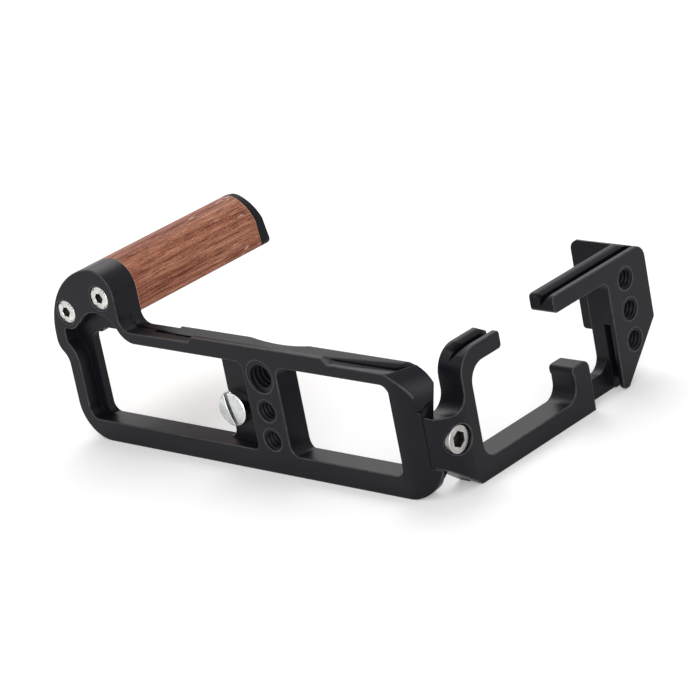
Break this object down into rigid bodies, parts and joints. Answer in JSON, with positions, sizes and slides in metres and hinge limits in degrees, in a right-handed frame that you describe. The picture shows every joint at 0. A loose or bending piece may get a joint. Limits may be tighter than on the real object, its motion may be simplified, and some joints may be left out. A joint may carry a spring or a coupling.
{
  "type": "camera l-bracket",
  "caption": "L-shaped camera bracket: skeletal dovetail base plate with tripod threads and captive camera screw, open side arm on a keyed lap joint, and a wooden hand grip.",
  "frame": {"origin": "mouth of the middle small tripod thread, in the clamp face of the base plate, on the middle line of the dovetail", "axes": "+X along the base towards the side arm, +Y into the camera body, +Z towards the camera's front, which is up in the pictured pose"},
  "size_m": [0.1436, 0.0955, 0.0542],
  "materials": {
    "black_anodised": "black anodised, fine matte",
    "steel": "bright plated",
    "wood": "satin oiled, grain along the grip",
    "cap_black": "matte black",
    "brass": "plain",
    "rubber": "matte"
  },
  "bodies": {
    "bracket": {"base_plate": "black_anodised", "side_arm": "black_anodised", "grip_wood": "wood", "grip_end_cap": "cap_black", "front_grip_screw": "steel", "rear_grip_screw": "steel", "front_grip_insert": "brass", "rear_grip_insert": "brass", "front_left_pad": "rubber", "front_right_pad": "rubber", "rear_left_pad": "rubber", "rear_right_pad": "rubber"},
    "camera_screw": {"camera_screw": "steel"},
    "arm_screw": {"arm_screw": "steel"}
  },
  "joints": [
    {"name": "camera_screw_turn", "type": "hinge", "parent": "bracket", "child": "camera_screw", "pos_m": [-0.0152, 0.0045, -0.0022], "axis": [0, 1, 0], "continuous": true},
    {"name": "arm_screw_turn", "type": "hinge", "parent": "bracket", "child": "arm_screw", "pos_m": [0.0558, 0.0098, -0.0038], "axis": [1, 0, 0], "continuous": true}
  ]
}
